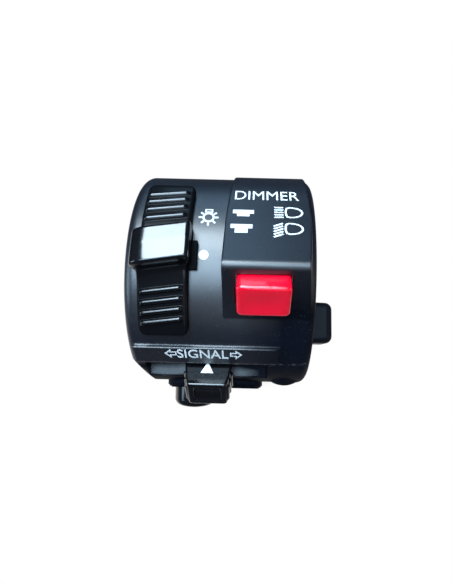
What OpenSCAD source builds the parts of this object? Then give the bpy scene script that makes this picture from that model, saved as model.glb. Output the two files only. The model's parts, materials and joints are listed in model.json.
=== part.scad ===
// Left-hand handlebar switch cluster: a split moulded housing that clamps on the
// bar, with a light slider, a dip button, a turn-signal slide, a horn button and
// a wiring loom. X runs along the bar, the origin is on the bar axis in the
// middle of the housing, +Z is up and the rider sits towards -Y.
// Angles are measured about the bar from the rider's side (-Y), up over the top.

/* [Handlebar] */
// Diameter of the handlebar
bar_d = 22.2; // [21.8:0.1:22.6]
// Radial gap between bar and closed housing
bar_gap = 0.05; // [0.02:0.01:0.1]
// Angle that the cluster is turned on the bar, rider's side up
mount_tilt = 20; // [10:1:30]

/* [Housing] */
// Outer diameter of the housing
body_d = 50; // [49:0.5:52]
// Length of the housing along the bar
body_len = 39; // [38.5:0.5:42]
// Wall of the outer shell
shell_wall = 2.5; // [2:0.1:2.8]
// Wall of the sleeve round the bar
sleeve_wall = 2; // [1.8:0.1:2.2]
// Thickness of the two end walls
end_wall = 2.5; // [2:0.1:2.8]
// Rounding of the end rims
rim_r = 2.2; // [1.2:0.1:2.4]

/* [Dip switch pod] */
// Distance of the pod's crest from the housing's right end
pod_in = 2.5; // [1.9:0.1:2.7]
// Length of the pod's crest as a share of the housing's length
pod_share = 0.413; // [0.405:0.001:0.425]
// How far the pod's upright face lies inside the housing's back
pod_set = 2.8; // [2:0.1:3.2]
// How far the pod's flat top stands above the round housing
pod_rise = 1.2; // [0.9:0.1:1.8]
// Rounding of the pod's crest
pod_crest_r = 1.4; // [0.8:0.1:1.8]
// Wall of the pod
pod_wall = 2; // [1.6:0.1:2.2]

/* [Dip button] */
// Offset of the dip button from the pod's middle
dip_shift = -0.25; // [-0.35:0.05:0.05]
// Width of the dip button as a share of the pod's crest
dip_share = 0.634; // [0.6:0.002:0.644]
// Height of the dip button
dip_h = 7.9; // [7:0.1:8]
// Distance of the button's middle below the pod's top
dip_drop = 6.5; // [6.4:0.1:6.8]
// How far the dip button stands out
dip_out = 3.2; // [2.8:0.1:4]
// Travel of the dip button
dip_travel = 2.4; // [1.6:0.1:2.5]

/* [Light slider] */
// Distance of the light slider's middle from the housing's left end
light_in = 8.4; // [8.1:0.1:8.9]
// Width of the light slider
light_w = 10; // [9:0.1:10.4]
// Lower end of the slider's base, in degrees
light_a0 = 19; // [17:1:20]
// Upper end of the slider's base, in degrees
light_a1 = 95; // [95:1:98]
// Thickness of the slider's base
light_t = 1.4; // [1.2:0.1:1.8]
// Height of the finger ribs
light_rib_h = 1.1; // [0.8:0.1:1.4]
// Ribs above and below the thumb tab
light_ribs = 4; // [3:1:4]
// Angle between two ribs
light_rib_step = 4.5; // [4.3:0.1:4.8]
// Height of the thumb tab above the shell
light_tab_h = 5.8; // [5:0.1:6.6]
// Slant of ribs and tab to the bar
light_slant = 8; // [0:1:8]
// Turn from lights off to lights on
light_turn = 28; // [20:1:28]

/* [Turn signal slide] */
// Distance of the turn-signal recess from the housing's left end
turn_in = 3.15; // [3:0.05:3.35]
// Length of the recess as a share of the housing's length
turn_share = 0.68; // [0.667:0.001:0.686]
// Height of the recess
turn_h = 8; // [7.6:0.1:8.2]
// Depth of the recess as a share of the room round the bar
turn_deep = 0.397; // [0.363:0.001:0.42]
// Width of the knob at its root
turn_knob_w = 10.4; // [9.6:0.1:10.8]
// Width of the knob at its lip
turn_lip_w = 8.2; // [7.6:0.1:9]
// How far the knob stands out of the housing
turn_out = 5.8; // [4:0.1:6]
// Travel of the knob to each side
turn_travel = 6.5; // [4:0.1:6.6]

/* [Horn button] */
// Offset of the horn button from the middle of the recess
horn_shift = -4.3; // [-4.6:0.1:-3.8]
// Direction of the horn button, in degrees below the rider's side
horn_a = 43; // [42:1:46]
// Diameter of the horn button
horn_d = 10; // [9:0.1:10.4]
// How far the horn button stands out of the housing
horn_out = 7; // [6:0.1:8]
// Travel of the horn button
horn_travel = 2; // [1.2:0.1:2.2]
// Height of the pad round the horn button
horn_pad = 1.7; // [1.2:0.1:2]

/* [Clamp screws] */
// Distance of the screws inside the housing's outside
screw_in = 6.3; // [6:0.1:6.6]
// Distance of the rear screw from the housing's right end
screw_end = 5.3; // [5.3:0.1:5.5]
// Place of the front screw as a share of half the length
screw_front = -0.31; // [-0.41:0.01:0.2]
// Diameter of the screws
screw_d = 4; // [3.5:0.1:4.2]
// Diameter of the screw heads
screw_head_d = 6.6; // [6:0.1:6.8]
// Diameter of the screw bosses
boss_d = 10.6; // [10:0.1:10.6]
// Depth of the screw bosses below the split
boss_h = 11.5; // [11:0.1:13]

/* [Loom] */
// Diameter of the loom
loom_d = 4.5; // [4:0.1:4.6]
// Width of the boot at the housing
boot_w = 11.4; // [10:0.1:11.6]
// How far the boot stands out of the housing's right end
boot_out = 9.1; // [8:0.1:9.4]
// Whole turns in the tied coil
coil_turns = 3; // [2:1:4]

/* [Clearances] */
// Gap between moving and fixed pieces
run_gap = 0.3; // [0.25:0.05:0.35]

/* [Hidden] */
$fn = 64;
EPS = 0.01;

BLACK = [0.10, 0.11, 0.13];
GLOSS = [0.05, 0.05, 0.06];
RED = [0.85, 0.06, 0.15];
STEEL = [0.66, 0.67, 0.70];
BRASS = [0.80, 0.62, 0.30];
RESIN = [0.55, 0.40, 0.24];
NYLON = [0.90, 0.89, 0.84];

// Housing radii and half length
bore_r = bar_d/2 + bar_gap;
sleeve_r = bore_r + sleeve_wall;
body_r = body_d/2;
shell_r = body_r - shell_wall;
half_len = body_len/2;
room_x = half_len - end_wall;
depth = body_r - sleeve_r;
screw_off = body_r - screw_in;
screw_x = half_len - screw_end;
screw_front_x = screw_front*half_len;
light_x = light_in - half_len;
turn_len = turn_share*body_len;
turn_depth = turn_deep*depth;
turn_x = turn_in - half_len + turn_len/2;
horn_x = turn_x + horn_shift;
pod_x1 = half_len - pod_in;
pod_len = pod_share*body_len;
pod_x0 = pod_x1 - pod_len;
pod_back = body_r - pod_set;
pod_top = body_r + pod_rise;

// Lettered panel on the split, beside the turn-signal recess
panel_back = body_r + 0.35;
panel_h = 5.2;
panel_x0 = -half_len + 0.7*rim_r;
panel_x1 = turn_x + turn_len/2 + 3;

// Pod draft: sides spread by this much from the crest to the shell
pod_spread_l = 0.1;
pod_spread_r = 1.3;
pod_lean_l = 1;
pod_lean_r = 0.6;
pod_fall = 0.6;
pod_dir = atan2(pod_top, pod_back);
pod_reach = norm([pod_top, pod_back]);
pod_in_x0 = pod_x0 + 1;
pod_in_x1 = pod_x1 - 1.4;
pod_floor = 0.515*pod_top;

// Dip switch stations along Y, from the flange behind the pod wall inwards
dip_wall_in = pod_back - pod_wall;
dip_flange_y = dip_wall_in - run_gap;
dip_flange_t = 1.4;
dip_base_t = 1.6;
dip_stem_l = 5.1;
dip_base_y = dip_flange_y - dip_flange_t - dip_stem_l;
dip_end_y = dip_base_y - dip_base_t - 1.2;
dip_stem_r = 2.2;
dip_contact_x = 0.38*(pod_in_x1 - pod_in_x0);
dip_contact_r = 1.1;
dip_front = pod_back + dip_out;
dip_z = pod_top - dip_drop;
dip_x = (pod_x0 + pod_x1)/2 + dip_shift;
dip_w = dip_share*pod_len;

// Light switch radii, from the shell inwards
light_r0 = body_r + run_gap;
light_r1 = light_r0 + light_t;
light_leg_w = 3.4;
light_over = 0.9;
light_leg_a0 = 53;
light_leg_a1 = light_leg_a0 + 12;
light_plate_r = sleeve_r + 0.19*depth;
light_pad_r = light_plate_r + 0.1*depth;
light_wipe_r = light_pad_r + run_gap;
light_car_r0 = light_wipe_r + 0.042*depth;
light_car_r1 = shell_r - 0.11*depth;
light_plate_w = 8.4;
light_plate_a0 = light_leg_a0 - 12;
light_plate_a1 = light_leg_a1 + light_turn + 8;
light_mid_a = light_leg_a0 + 7;

// Turn switch stations along Y, from the recess inwards
knob_x = turn_x + 0.5;
turn_x0 = turn_x - turn_len/2;
turn_x1 = turn_x + turn_len/2;
turn_back = body_r - turn_depth;
turn_wall = 0.152*depth;
turn_reach = body_r + turn_out;
turn_car_y = turn_back - turn_wall - run_gap;
turn_car_t = 0.135*depth;
turn_car_w = 12.4;
turn_wipe_t = 0.05*depth;
turn_wipe_w = 9;
turn_wipe_h = 4;
turn_pad_y = turn_car_y - turn_car_t - turn_wipe_t - run_gap;
turn_pad_t = 0.06*depth;
turn_pad_w = 5.2;
turn_pad_h = 3.6;
turn_pad_step = 1.25*turn_pad_w;
turn_neck_w = 6;
turn_neck_h = 2;
turn_mid_z = -turn_h/2;
turn_neck_z = -0.275*turn_h;
turn_floor = 1.5;
seam_h = 0.25;

// Ramp that leads from the recess's front edge up to its back, and the gap above it
ramp_front = -0.98*turn_h;
ramp_back = -0.65*turn_h;
ramp_y = turn_back + 0.25*turn_depth;
ramp_slope = (ramp_back - ramp_front)/(body_r - ramp_y);
ramp_gap = run_gap + 0.2;

// Horn stations along its own axis
horn_pad_r = body_r + horn_pad;
horn_end = body_r + horn_out;
horn_seat_r = shell_r - 0.3;
horn_flange_r = horn_seat_r - run_gap;
horn_flange_t = 1.2;
horn_flange_l = 12.4;
horn_flange_w = 9.2;
horn_plate_l = 12.4;
horn_plate_w = 8.8;
horn_spring_l = 3.6;
horn_plate_r = horn_flange_r - horn_flange_t - horn_spring_l;
horn_stem_r = 1.4;
horn_tip_r = horn_plate_r + 0.3 + run_gap + horn_travel;

// Clamp screw stations along Z
screw_head_z = -boss_h + 4;
screw_head_h = 2.6;
screw_grip = 10;

// Loom exit and elbow boot
exit_a = 35;
exit_off = (sleeve_r + shell_r)/2;
exit_hole_r = 3.6;
exit_flange_r = 4.4;
exit_y = 1.2;
boot_up = 4.6;
boot_down = 7;
boot_tail = 6;
boot_edge = 2;
boot_mid = boot_out/2;
boot_tip_d = loom_d + 2;

// Place of the loom's free end at the boot, turned with the cluster
function turned(p) = [p[0],
  p[1]*cos(mount_tilt) + p[2]*sin(mount_tilt),
  p[2]*cos(mount_tilt) - p[1]*sin(mount_tilt)];
exit_down = [0, sin(exit_a), -cos(exit_a)];
boot_end_w = boot_down + boot_tail;
boot_end = turned([half_len + boot_mid, exit_y, -exit_off] + boot_end_w*exit_down);
boot_dir = turned(exit_down);

// Route of the loom from the boot to the coil, chosen by hand
LEAD = [[24, 0.7, -38.4], [24.7, 1.8, -42.7], [25.5, 2.9, -47], [26.4, 4, -51.3]];
coil_top = [27, 5, -60];

// Coil: upright turns that step back by one pitch each, and half a turn to the plug
coil_r = 24;
coil_pitch = loom_d + 0.9;
coil_rings = 24;
coil_mid = [coil_top[0] - coil_r, coil_top[1], coil_top[2]];
function coil_point(a) = coil_mid + [coil_r*cos(a), coil_pitch*a/360, -coil_r*sin(a)];
coil_count = coil_rings*(coil_turns + 0.5);
COIL = [for (i = [0:coil_count]) coil_point(360*i/coil_rings)];
coil_end = COIL[coil_count];

// Smallest gap between stretches of the coil that aren't neighbours
coil_gap = min([for (i = [0:coil_count]) for (j = [i + 5:1:coil_count])
  norm(COIL[i] - COIL[j])]) - loom_d;
echo(coil_gap = coil_gap);

// Plug at the loom's end
plug_w = 13;
plug_d = 8.6;
plug_h = 20;
plug_wall = 1.2;
plug_side = 2;

// Frames along a path: each ring's first normal is carried on from the last
function unit(v) = v/norm(v);
function flat_to(n, t) = unit(n - t*(n*t));
function path_dirs(p, d0, d1) = [for (i = [0:len(p) - 1])
  i == 0 ? unit(d0) : i == len(p) - 1 ? unit(d1) : unit(p[i + 1] - p[i - 1])];
function path_normals(t, n0) = [for (i = 0, n = flat_to(n0, t[0]); i < len(t);
  i = i + 1, n = i < len(t) ? flat_to(n, t[i]) : n) n];

// Round tube along the points p, from the direction d0 to the direction d1
module tube(p, r, d0, d1, n0, sides) {
  t = path_dirs(p, d0, d1);
  n = path_normals(t, n0);
  m = len(p);
  pts = [for (i = [0:m - 1]) for (j = [0:sides - 1])
    p[i] + r*(n[i]*cos(360*j/sides) + cross(t[i], n[i])*sin(360*j/sides))];
  skin = [for (i = [0:m - 2]) for (j = [0:sides - 1])
    let (a = i*sides + j, b = i*sides + (j + 1) % sides)
    each [[a, a + sides, b + sides], [a, b + sides, b]]];
  ends = [for (j = [1:sides - 2])
    each [[0, j, j + 1], [(m - 1)*sides, (m - 1)*sides + j + 1, (m - 1)*sides + j]]];
  polyhedron(pts, concat(skin, ends), convexity = 8);
}

// Coil spring along Z from z0 to z1
module spring(r, wire, z0, z1, curls) {
  n = curls*8;
  tube([for (i = [0:n]) [r*cos(45*i), r*sin(45*i), z0 + wire/2 + (z1 - z0 - wire)*i/n]],
    wire/2, [0, 1, 0], [0, 1, 0], [1, 0, 0], 6);
}

// Box between two corners
module block(a, b) {
  translate(a) cube(b - a);
}

// Turns the cluster on the bar
module tilted() {
  rotate([-mount_tilt, 0, 0]) children();
}

// Stands a profile of radius and -X up for turning about the bar
module about_bar() {
  rotate([90, 0, -90]) children();
}

// Ring sector about the bar between two angles
module sector(r0, r1, x0, x1, a0, a1) {
  about_bar() rotate([0, 0, a0]) rotate_extrude(angle = a1 - a0)
    translate([r0, -x1]) square([r1 - r0, x1 - x0]);
}

// Moves children from the bar axis to the radius r at the angle a, with +Z outwards
module at_angle(x, a, r) {
  translate([x, -r*cos(a), r*sin(a)]) rotate([90 - a, 0, 0]) children();
}

// Rod along X
module rod(r, x0, x1) {
  translate([x0, 0, 0]) rotate([0, 90, 0]) cylinder(r = r, h = x1 - x0);
}

// Profile of Y and Z drawn out along X
module along_x(x0, x1) {
  translate([x0, 0, 0]) rotate([90, 0, 90]) linear_extrude(x1 - x0) children();
}

// Rectangle with round corners, about its middle
module round_rect(w, h, r) {
  square([w - 2*r, h], center = true);
  square([w, h - 2*r], center = true);
  for (sx = [-1, 1], sy = [-1, 1])
    translate([sx*(w/2 - r), sy*(h/2 - r)]) circle(r);
}

// Solid drum of the closed housing with rounded rims
module drum() {
  about_bar() rotate_extrude() {
    translate([0, -half_len]) square([body_r - rim_r, body_len]);
    translate([0, rim_r - half_len]) square([body_r, body_len - 2*rim_r]);
    for (s = [-1, 1]) translate([body_r - rim_r, s*(half_len - rim_r)]) circle(rim_r);
  }
}

// Everything above (1) or below (-1) the split
module half_space(side) {
  block([-40, -50, side > 0 ? 0 : -50], [40, 50, side > 0 ? 50 : 0]);
}

// Room between sleeve and shell
module room() {
  about_bar() rotate_extrude()
    translate([sleeve_r, -room_x]) square([shell_r - sleeve_r, 2*room_x]);
}

// Outer form of the pod: round over the top, flat on top, upright towards the rider
module pod_form() {
  intersection() {
    rotate([90, 0, 90]) translate([0, 0, -half_len]) linear_extrude(body_len) {
      intersection() {
        circle(pod_top - pod_fall);
        square([pod_top, pod_top]);
      }
      polygon([[0, 0], [0, pod_top - pod_fall], [pod_crest_r - pod_back, pod_top],
        [pod_crest_r - pod_back, pod_top - pod_crest_r], [-pod_back, pod_top - pod_crest_r],
        [-pod_back, 0]]);
      translate([pod_crest_r - pod_back, pod_top - pod_crest_r]) circle(pod_crest_r);
    }
    pod_draft();
  }
}

// Wedge that leans the pod's two sides
module pod_draft() {
  drop = pod_reach - body_r;
  rotate([90 - pod_dir, 0, 0]) rotate([90, 0, 0]) translate([0, 0, -45])
    linear_extrude(90) polygon([
      [pod_x0, pod_reach], [pod_x1, pod_reach],
      [min(pod_x1 + pod_spread_r, half_len - EPS), pod_reach - drop],
      [pod_x1 + pod_lean_r, body_r/3], [pod_x1 + pod_lean_r, -45],
      [pod_x0 + pod_lean_l, -45], [pod_x0 + pod_lean_l, body_r/3],
      [pod_x0 - pod_spread_l, pod_reach - drop]]);
}

// Upright post for a clamp screw
module screw_post(x, y, d, z0, z1) {
  translate([x, y, z0]) cylinder(d = d, h = z1 - z0);
}

// Upper half: light slider track, pod of the dip switch and lettered panel
module upper_housing() {
  post_h = screw_grip + 2;
  color(BLACK) tilted() difference() {
    union() {
      difference() {
        union() {
          intersection() {
            drum();
            half_space(1);
          }
          pod_form();
          panel();
        }
        room();
        block([pod_in_x0, -dip_wall_in, pod_floor],
          [pod_in_x1, -dip_end_y + dip_travel + 0.6, pod_top - pod_wall]);
      }
      intersection() {
        union() {
          screw_post(screw_x, -screw_off, boss_d - 1.6, 0, post_h);
          screw_post(screw_front_x, screw_off, boss_d - 1.6, 0, post_h);
        }
        drum();
      }
    }
    rod(bore_r, -40, 40);
    dip_window();
    sector(sleeve_r + 6, body_r + 3, light_x - light_leg_w/2 - run_gap,
      light_x + light_leg_w/2 + run_gap, light_leg_a0 - 1.5, light_leg_a1 + light_turn + 1.5);
    for (p = [[screw_x, -screw_off], [screw_front_x, screw_off]])
      translate([p[0], p[1], -1]) cylinder(d = screw_d - 0.4, h = screw_grip + 1);
  }
}

// Raised panel with a rounded right end
module panel() {
  r = 2;
  linear_extrude(panel_h) {
    translate([panel_x0, -panel_back]) square([panel_x1 - r - panel_x0, panel_back - shell_r + 1]);
    translate([panel_x0, r - panel_back]) square([panel_x1 - panel_x0, panel_back - shell_r + 1 - r]);
    translate([panel_x1 - r, r - panel_back]) circle(r);
  }
}

// Window in the pod's upright face
module dip_window() {
  block([dip_x - dip_w/2 - run_gap, -pod_back - 5, dip_z - dip_h/2 - run_gap],
    [dip_x + dip_w/2 + run_gap, -dip_wall_in + 1, dip_z + dip_h/2 + run_gap]);
}

// Lower half: recess of the turn slide, horn pad, screw bosses and loom exit
module lower_housing() {
  color(BLACK) tilted() difference() {
    union() {
      difference() {
        union() {
          intersection() {
            drum();
            half_space(-1);
          }
          horn_pad_form();
        }
        room();
      }
      intersection() {
        union() {
          block([turn_x0 - 1.5, -body_r, -turn_h - turn_floor],
            [turn_x1 + 1.5, -sleeve_r + 0.5, 0]);
          screw_post(screw_x, -screw_off, boss_d, -boss_h, 0);
          screw_post(screw_front_x, screw_off, boss_d, -boss_h, 0);
        }
        drum();
      }
      lobe(screw_x, -screw_off);
      lobe(screw_front_x, screw_off);
    }
    rod(bore_r, -40, 40);
    seam();
    corner_cut();
    turn_room();
    horn_room();
    screw_room(screw_x, -screw_off);
    screw_room(screw_front_x, screw_off);
    translate([0, exit_y, -exit_off]) rod(exit_hole_r, room_x - 3, half_len + 5);
  }
}

// Round boss with a rounded foot that stands out of the shell round a screw
module lobe(x, y) {
  foot = 1.8;
  difference() {
    translate([x, y, -boss_h]) rotate_extrude() {
      square([boss_d/2 - foot, boss_h]);
      translate([0, foot]) square([boss_d/2, boss_h - foot]);
      translate([boss_d/2 - foot, foot]) circle(foot);
    }
    rod(shell_r, -40, 40);
  }
}

// Raised pad round the horn button with round corners, its edge stepped down by inset and drop
module horn_pad_form() {
  for (step = [[0, 0.6], [0.3, 0.25], [0.75, 0]])
    intersection() {
      rod(horn_pad_r - step[1], -half_len, half_len);
      at_angle(horn_x + 5.2, -horn_a, shell_r - 1) linear_extrude(horn_pad_r - shell_r + 2)
        round_rect(23 - 2*step[0], 17.2 - 2*step[0], 6 - step[0]);
    }
}

// Slanting cut at the recess's left end, leaning inwards, downwards and to the rider
module corner_cut() {
  translate([-half_len + 0.9, -body_r, 0]) rotate([0, 0, -139]) rotate([0, 17.6, 0])
    translate([0, -30, -30]) cube(60);
}

// Fine groove along the split
module seam() {
  difference() {
    block([-40, -40, -seam_h], [40, 40, 1]);
    rod(body_r - seam_h, -half_len + seam_h, half_len - seam_h);
  }
}

// Recess, slot and inner room of the turn slide
module turn_room() {
  reach = turn_neck_w/2 + turn_travel + 0.5;
  along_x(turn_x0, turn_x1) polygon([[-body_r - 5, 1], [-body_r - 5, ramp_front],
    [-body_r, ramp_front], [-ramp_y, ramp_back], [-turn_back, ramp_back], [-turn_back, 1]]);
  block([turn_x0, -turn_back + turn_wall, -turn_h], [turn_x1, -sleeve_r - EPS, 1]);
  block([turn_x - reach, -turn_back - 1, turn_neck_z - turn_neck_h/2 - run_gap],
    [turn_x + reach, -turn_back + turn_wall + 1, turn_neck_z + turn_neck_h/2 + run_gap]);
}

// Guide of the horn button and flat seat of its flange
module horn_room() {
  at_angle(horn_x, -horn_a, 0) {
    translate([0, 0, shell_r - 4]) cylinder(d = horn_d + 2*run_gap, h = 20);
    block([-horn_flange_l/2 - run_gap, -horn_flange_w/2 - run_gap, shell_r - 4],
      [horn_flange_l/2 + run_gap, horn_flange_w/2 + run_gap, horn_seat_r]);
  }
}

// Screw hole with a sunk seat for the head
module screw_room(x, y) {
  translate([x, y, -30]) cylinder(d = screw_d + 0.4, h = 31);
  translate([x, y, -30]) cylinder(d = screw_head_d + 0.4, h = 30 + screw_head_z);
}

// Pan-head clamp screw with a cross recess, standing head down
module clamp_screw(x, y) {
  color(STEEL) tilted() translate([x, y, 0]) difference() {
    union() {
      translate([0, 0, screw_head_z - screw_head_h]) cylinder(d = screw_head_d, h = screw_head_h);
      translate([0, 0, screw_head_z - EPS]) cylinder(d = screw_d, h = -screw_head_z + EPS);
      translate([0, 0, -EPS]) cylinder(d = screw_d - 0.4, h = screw_grip - 0.5);
    }
    for (a = [0, 90]) rotate([0, 0, a]) translate([0, 0, screw_head_z - screw_head_h])
      cube([0.62*screw_head_d, 0.9, 2.2], center = true);
  }
}

module clamp_screw_rear() {
  clamp_screw(screw_x, -screw_off);
}

module clamp_screw_front() {
  clamp_screw(screw_front_x, screw_off);
}

// Angle of rib i, counted outwards from the tab, above (1) or below (-1) it
function rib_angle(i, side) = side > 0 ? 73 + i*light_rib_step : 40.4 - i*light_rib_step;

// Curved cover with finger ribs and a thumb tab, and the leg that goes through the shell
module light_slider() {
  color(GLOSS) tilted() {
    sector(light_r0, light_r1, light_x - light_w/2, light_x + light_w/2, light_a0, light_a1);
    for (i = [0:light_ribs - 1], side = [-1, 1])
      at_angle(light_x, rib_angle(i, side), 0) rotate([0, 0, light_slant]) light_rib();
    difference() {
      light_tab();
      rod(light_r0 + light_t/3, -40, 40);
    }
    sector(light_car_r1, light_r0 + 0.6, light_x - light_leg_w/2, light_x + light_leg_w/2,
      light_leg_a0, light_leg_a1);
    sector(light_r0, light_r1 - 0.5, light_x + light_w/2 - 1, light_x + light_w/2 + 1.6,
      light_mid_a - 11, light_mid_a + 2.5);
  }
}

// One finger rib with a round back
module light_rib() {
  half = light_w/2 - 0.9;
  back = 0.7;
  crest = light_r1 + light_rib_h - back;
  rotate([90, 0, 90]) translate([0, 0, -half]) linear_extrude(2*half) {
    translate([-back, light_r1 - 0.5]) square([2*back, crest - light_r1 + 0.5]);
    translate([0, crest]) circle(back);
  }
}

// Thumb tab: one broad face between two steep walls, a little wider than the base
module light_tab() {
  top = body_r + light_tab_h;
  at_angle(light_x, light_mid_a, 0) rotate([0, 0, light_slant]) rotate([90, 0, 90])
    translate([0, 0, -light_w/2 - light_over]) linear_extrude(light_w + light_over + 0.4)
      offset(r = 0.8, $fn = 24) offset(delta = -0.8)
        polygon([[-5.4, light_r0 - 2], [-4.7, top - 0.1], [-0.6, top - 0.2], [3, top - 0.7],
          [3.6, light_r0 - 2]]);
}

// Carrier on the leg's inner end
module light_carrier() {
  half = light_w/2 - 0.8;
  color(NYLON) tilted() difference() {
    sector(light_car_r0, light_car_r1, light_x - half, light_x + half,
      light_leg_a0 - 4, light_leg_a1 + 4);
    for (s = [-1, 1])
      at_angle(light_x + s*half, light_leg_a0 + 6, light_car_r1 - 1.5)
        rotate([0, 90, 0]) cylinder(d = 2.2, h = 3, center = true);
  }
}

// Spring-brass wiper under the carrier
module light_wiper() {
  color(BRASS) tilted()
    sector(light_wipe_r, light_car_r0, light_x - 2.6, light_x + 2.6,
      light_leg_a0 - 1, light_leg_a1 + 1);
}

// Curved contact plate on the sleeve
module light_contact_plate() {
  color(RESIN) tilted()
    sector(sleeve_r, light_plate_r, light_x - light_plate_w/2, light_x + light_plate_w/2,
      light_plate_a0, light_plate_a1);
}

// Three contact strips on the plate
module light_contacts() {
  span = light_leg_a1 - light_leg_a0 + light_turn;
  color(BRASS) tilted() for (i = [0:2])
    sector(light_plate_r, light_pad_r, light_x - 0.29*light_plate_w, light_x + 0.29*light_plate_w,
      light_leg_a0 + i*span/3 + 1, light_leg_a0 + (i + 1)*span/3 - 1);
}

// Dip button with a bevelled top and a thumb dish
module dip_button() {
  r = 0.9;
  back = dip_flange_y;
  dish = 14;
  color(RED) tilted() difference() {
    union() {
      hull() {
        for (sx = [-1, 1], sz = [-1, 1])
          translate([dip_x + sx*(dip_w/2 - r - (sz < 0 ? 0.25 : 0.1)), r - dip_front,
            dip_z + sz*(dip_h/2 - r)]) sphere(r, $fn = 24);
        block([dip_x - dip_w/2, -pod_back, dip_z - dip_h/2],
          [dip_x + dip_w/2, -back, dip_z + dip_h/2]);
      }
    }
    translate([dip_x, -dip_front - dish + 0.8, dip_z - 0.8]) sphere(dish);
  }
}

// Moves children to the dip switch's axis, +Z pointing at the bar's front
module on_dip_axis(y) {
  translate([dip_x, -y, dip_z]) rotate([-90, 0, 0]) children();
}

// Flange that stops behind the pod wall, stem and bridge contact carrier
module dip_plunger() {
  flange_w = dip_w + 2.2;
  color(NYLON) tilted() {
    block([dip_x - flange_w/2, -dip_flange_y, dip_z - dip_h/2],
      [dip_x + flange_w/2, -dip_flange_y + dip_flange_t, dip_z + dip_h/2]);
    on_dip_axis(dip_flange_y - dip_flange_t) cylinder(r = dip_stem_r,
      h = dip_flange_y - dip_flange_t - dip_end_y);
    block([dip_x - 3.4, -dip_end_y - 0.8, dip_z - 1], [dip_x + 3.4, -dip_end_y, dip_z + 1]);
  }
}

// Return spring round the dip stem
module dip_spring() {
  color(STEEL) tilted() on_dip_axis(dip_flange_y - dip_flange_t)
    spring(dip_stem_r + 0.9, 0.6, 0, dip_flange_y - dip_flange_t - dip_base_y, 4);
}

// Base across the pod's inside with a hole for the stem
module dip_base() {
  color(RESIN) tilted() difference() {
    block([pod_in_x0, -dip_base_y, pod_floor + 0.2],
      [pod_in_x1, -dip_base_y + dip_base_t, pod_top - pod_wall]);
    on_dip_axis(dip_base_y + 1) cylinder(r = dip_stem_r + run_gap, h = dip_base_t + 2);
    for (s = [-1, 1]) translate([s*dip_contact_x, 0, 0]) on_dip_axis(dip_base_y + 1)
      cylinder(r = 0.8, h = dip_base_t + 2);
  }
}

// Two contact rivets in the base
module dip_contacts() {
  color(BRASS) tilted() for (s = [-1, 1]) translate([s*dip_contact_x, 0, 0]) {
    on_dip_axis(dip_base_y + 0.5) cylinder(r = 0.8, h = dip_base_t + 1);
    on_dip_axis(dip_base_y + 0.5) cylinder(r = dip_contact_r, h = 0.5);
  }
}

// Knob of the turn signal: tapered plan, hollow front, ribbed sides
module turn_knob() {
  root_y = body_r - 0.7;
  top_z = -0.7;
  low_z = -0.95*turn_h;
  foot_y = ramp_y + (ramp_back + ramp_gap - low_z)/ramp_slope;
  rib = 0.5;
  dish = 9;
  color(GLOSS) tilted() difference() {
    union() {
      intersection() {
        translate([knob_x, 0, low_z]) linear_extrude(top_z - low_z) polygon([
          [-turn_lip_w/2, -turn_reach], [turn_lip_w/2, -turn_reach],
          [turn_knob_w/2, -root_y], [turn_knob_w/2, -turn_back - 0.5],
          [-turn_knob_w/2, -turn_back - 0.5], [-turn_knob_w/2, -root_y]]);
        along_x(turn_x - 20, turn_x + 20) offset(r = 0.5, $fn = 24) offset(delta = -0.5)
          polygon([[-turn_back - 0.5, ramp_back + ramp_gap], [-turn_back - 0.5, top_z],
            [0.5 - turn_reach, top_z], [-turn_reach, low_z], [-foot_y, low_z],
            [-ramp_y, ramp_back + ramp_gap]]);
      }
      for (s = [-1, 1], i = [0:2])
        knob_rib(s, 0.35 + 0.25*i, rib, root_y, low_z, top_z);
      block([turn_x - turn_neck_w/2, -turn_back - 1, turn_neck_z - turn_neck_h/2],
        [turn_x + turn_neck_w/2, -turn_car_y, turn_neck_z + turn_neck_h/2]);
    }
    translate([knob_x, -turn_reach - dish + 0.9, turn_mid_z + 0.2])
      rod(dish, -2.8, 2.8);
  }
}

// Upright rib on the knob's slanting side s, at the share f from root to lip
module knob_rib(s, f, r, root_y, low_z, top_z) {
  y = root_y + f*(turn_reach - root_y);
  w = turn_knob_w + f*(turn_lip_w - turn_knob_w);
  translate([knob_x + s*(w/2 - 0.1), -y, low_z + 0.8]) cylinder(r = r, h = top_z - low_z - 1.6);
}

// Carrier behind the slotted wall
module turn_carrier() {
  color(NYLON) tilted() difference() {
    block([turn_x - turn_car_w/2, -turn_car_y, -turn_h + 0.5],
      [turn_x + turn_car_w/2, -turn_car_y + turn_car_t, -0.5]);
    for (s = [-1, 1]) translate([turn_x + 0.4*s*turn_car_w, -turn_car_y + turn_car_t/2, turn_mid_z])
      rotate([90, 0, 0]) cylinder(d = 1.6, h = 4);
  }
}

// Spring-brass wiper behind the carrier
module turn_wiper() {
  color(BRASS) tilted()
    block([turn_x - turn_wipe_w/2, -turn_car_y + turn_car_t, turn_mid_z - turn_wipe_h/2],
      [turn_x + turn_wipe_w/2, -turn_car_y + turn_car_t + turn_wipe_t, turn_mid_z + turn_wipe_h/2]);
}

// Contact plate against the sleeve
module turn_contact_plate() {
  color(RESIN) tilted()
    block([turn_x0 + 0.3, -turn_pad_y + turn_pad_t, -turn_h],
      [turn_x1 - 0.3, -sleeve_r - EPS, -0.3]);
}

// Left, common and right contacts
module turn_contacts() {
  color(BRASS) tilted() for (i = [-1:1])
    block([turn_x + turn_pad_step*i - turn_pad_w/2, -turn_pad_y, turn_mid_z - turn_pad_h/2],
      [turn_x + turn_pad_step*i + turn_pad_w/2, -turn_pad_y + turn_pad_t, turn_mid_z + turn_pad_h/2]);
}

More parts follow.
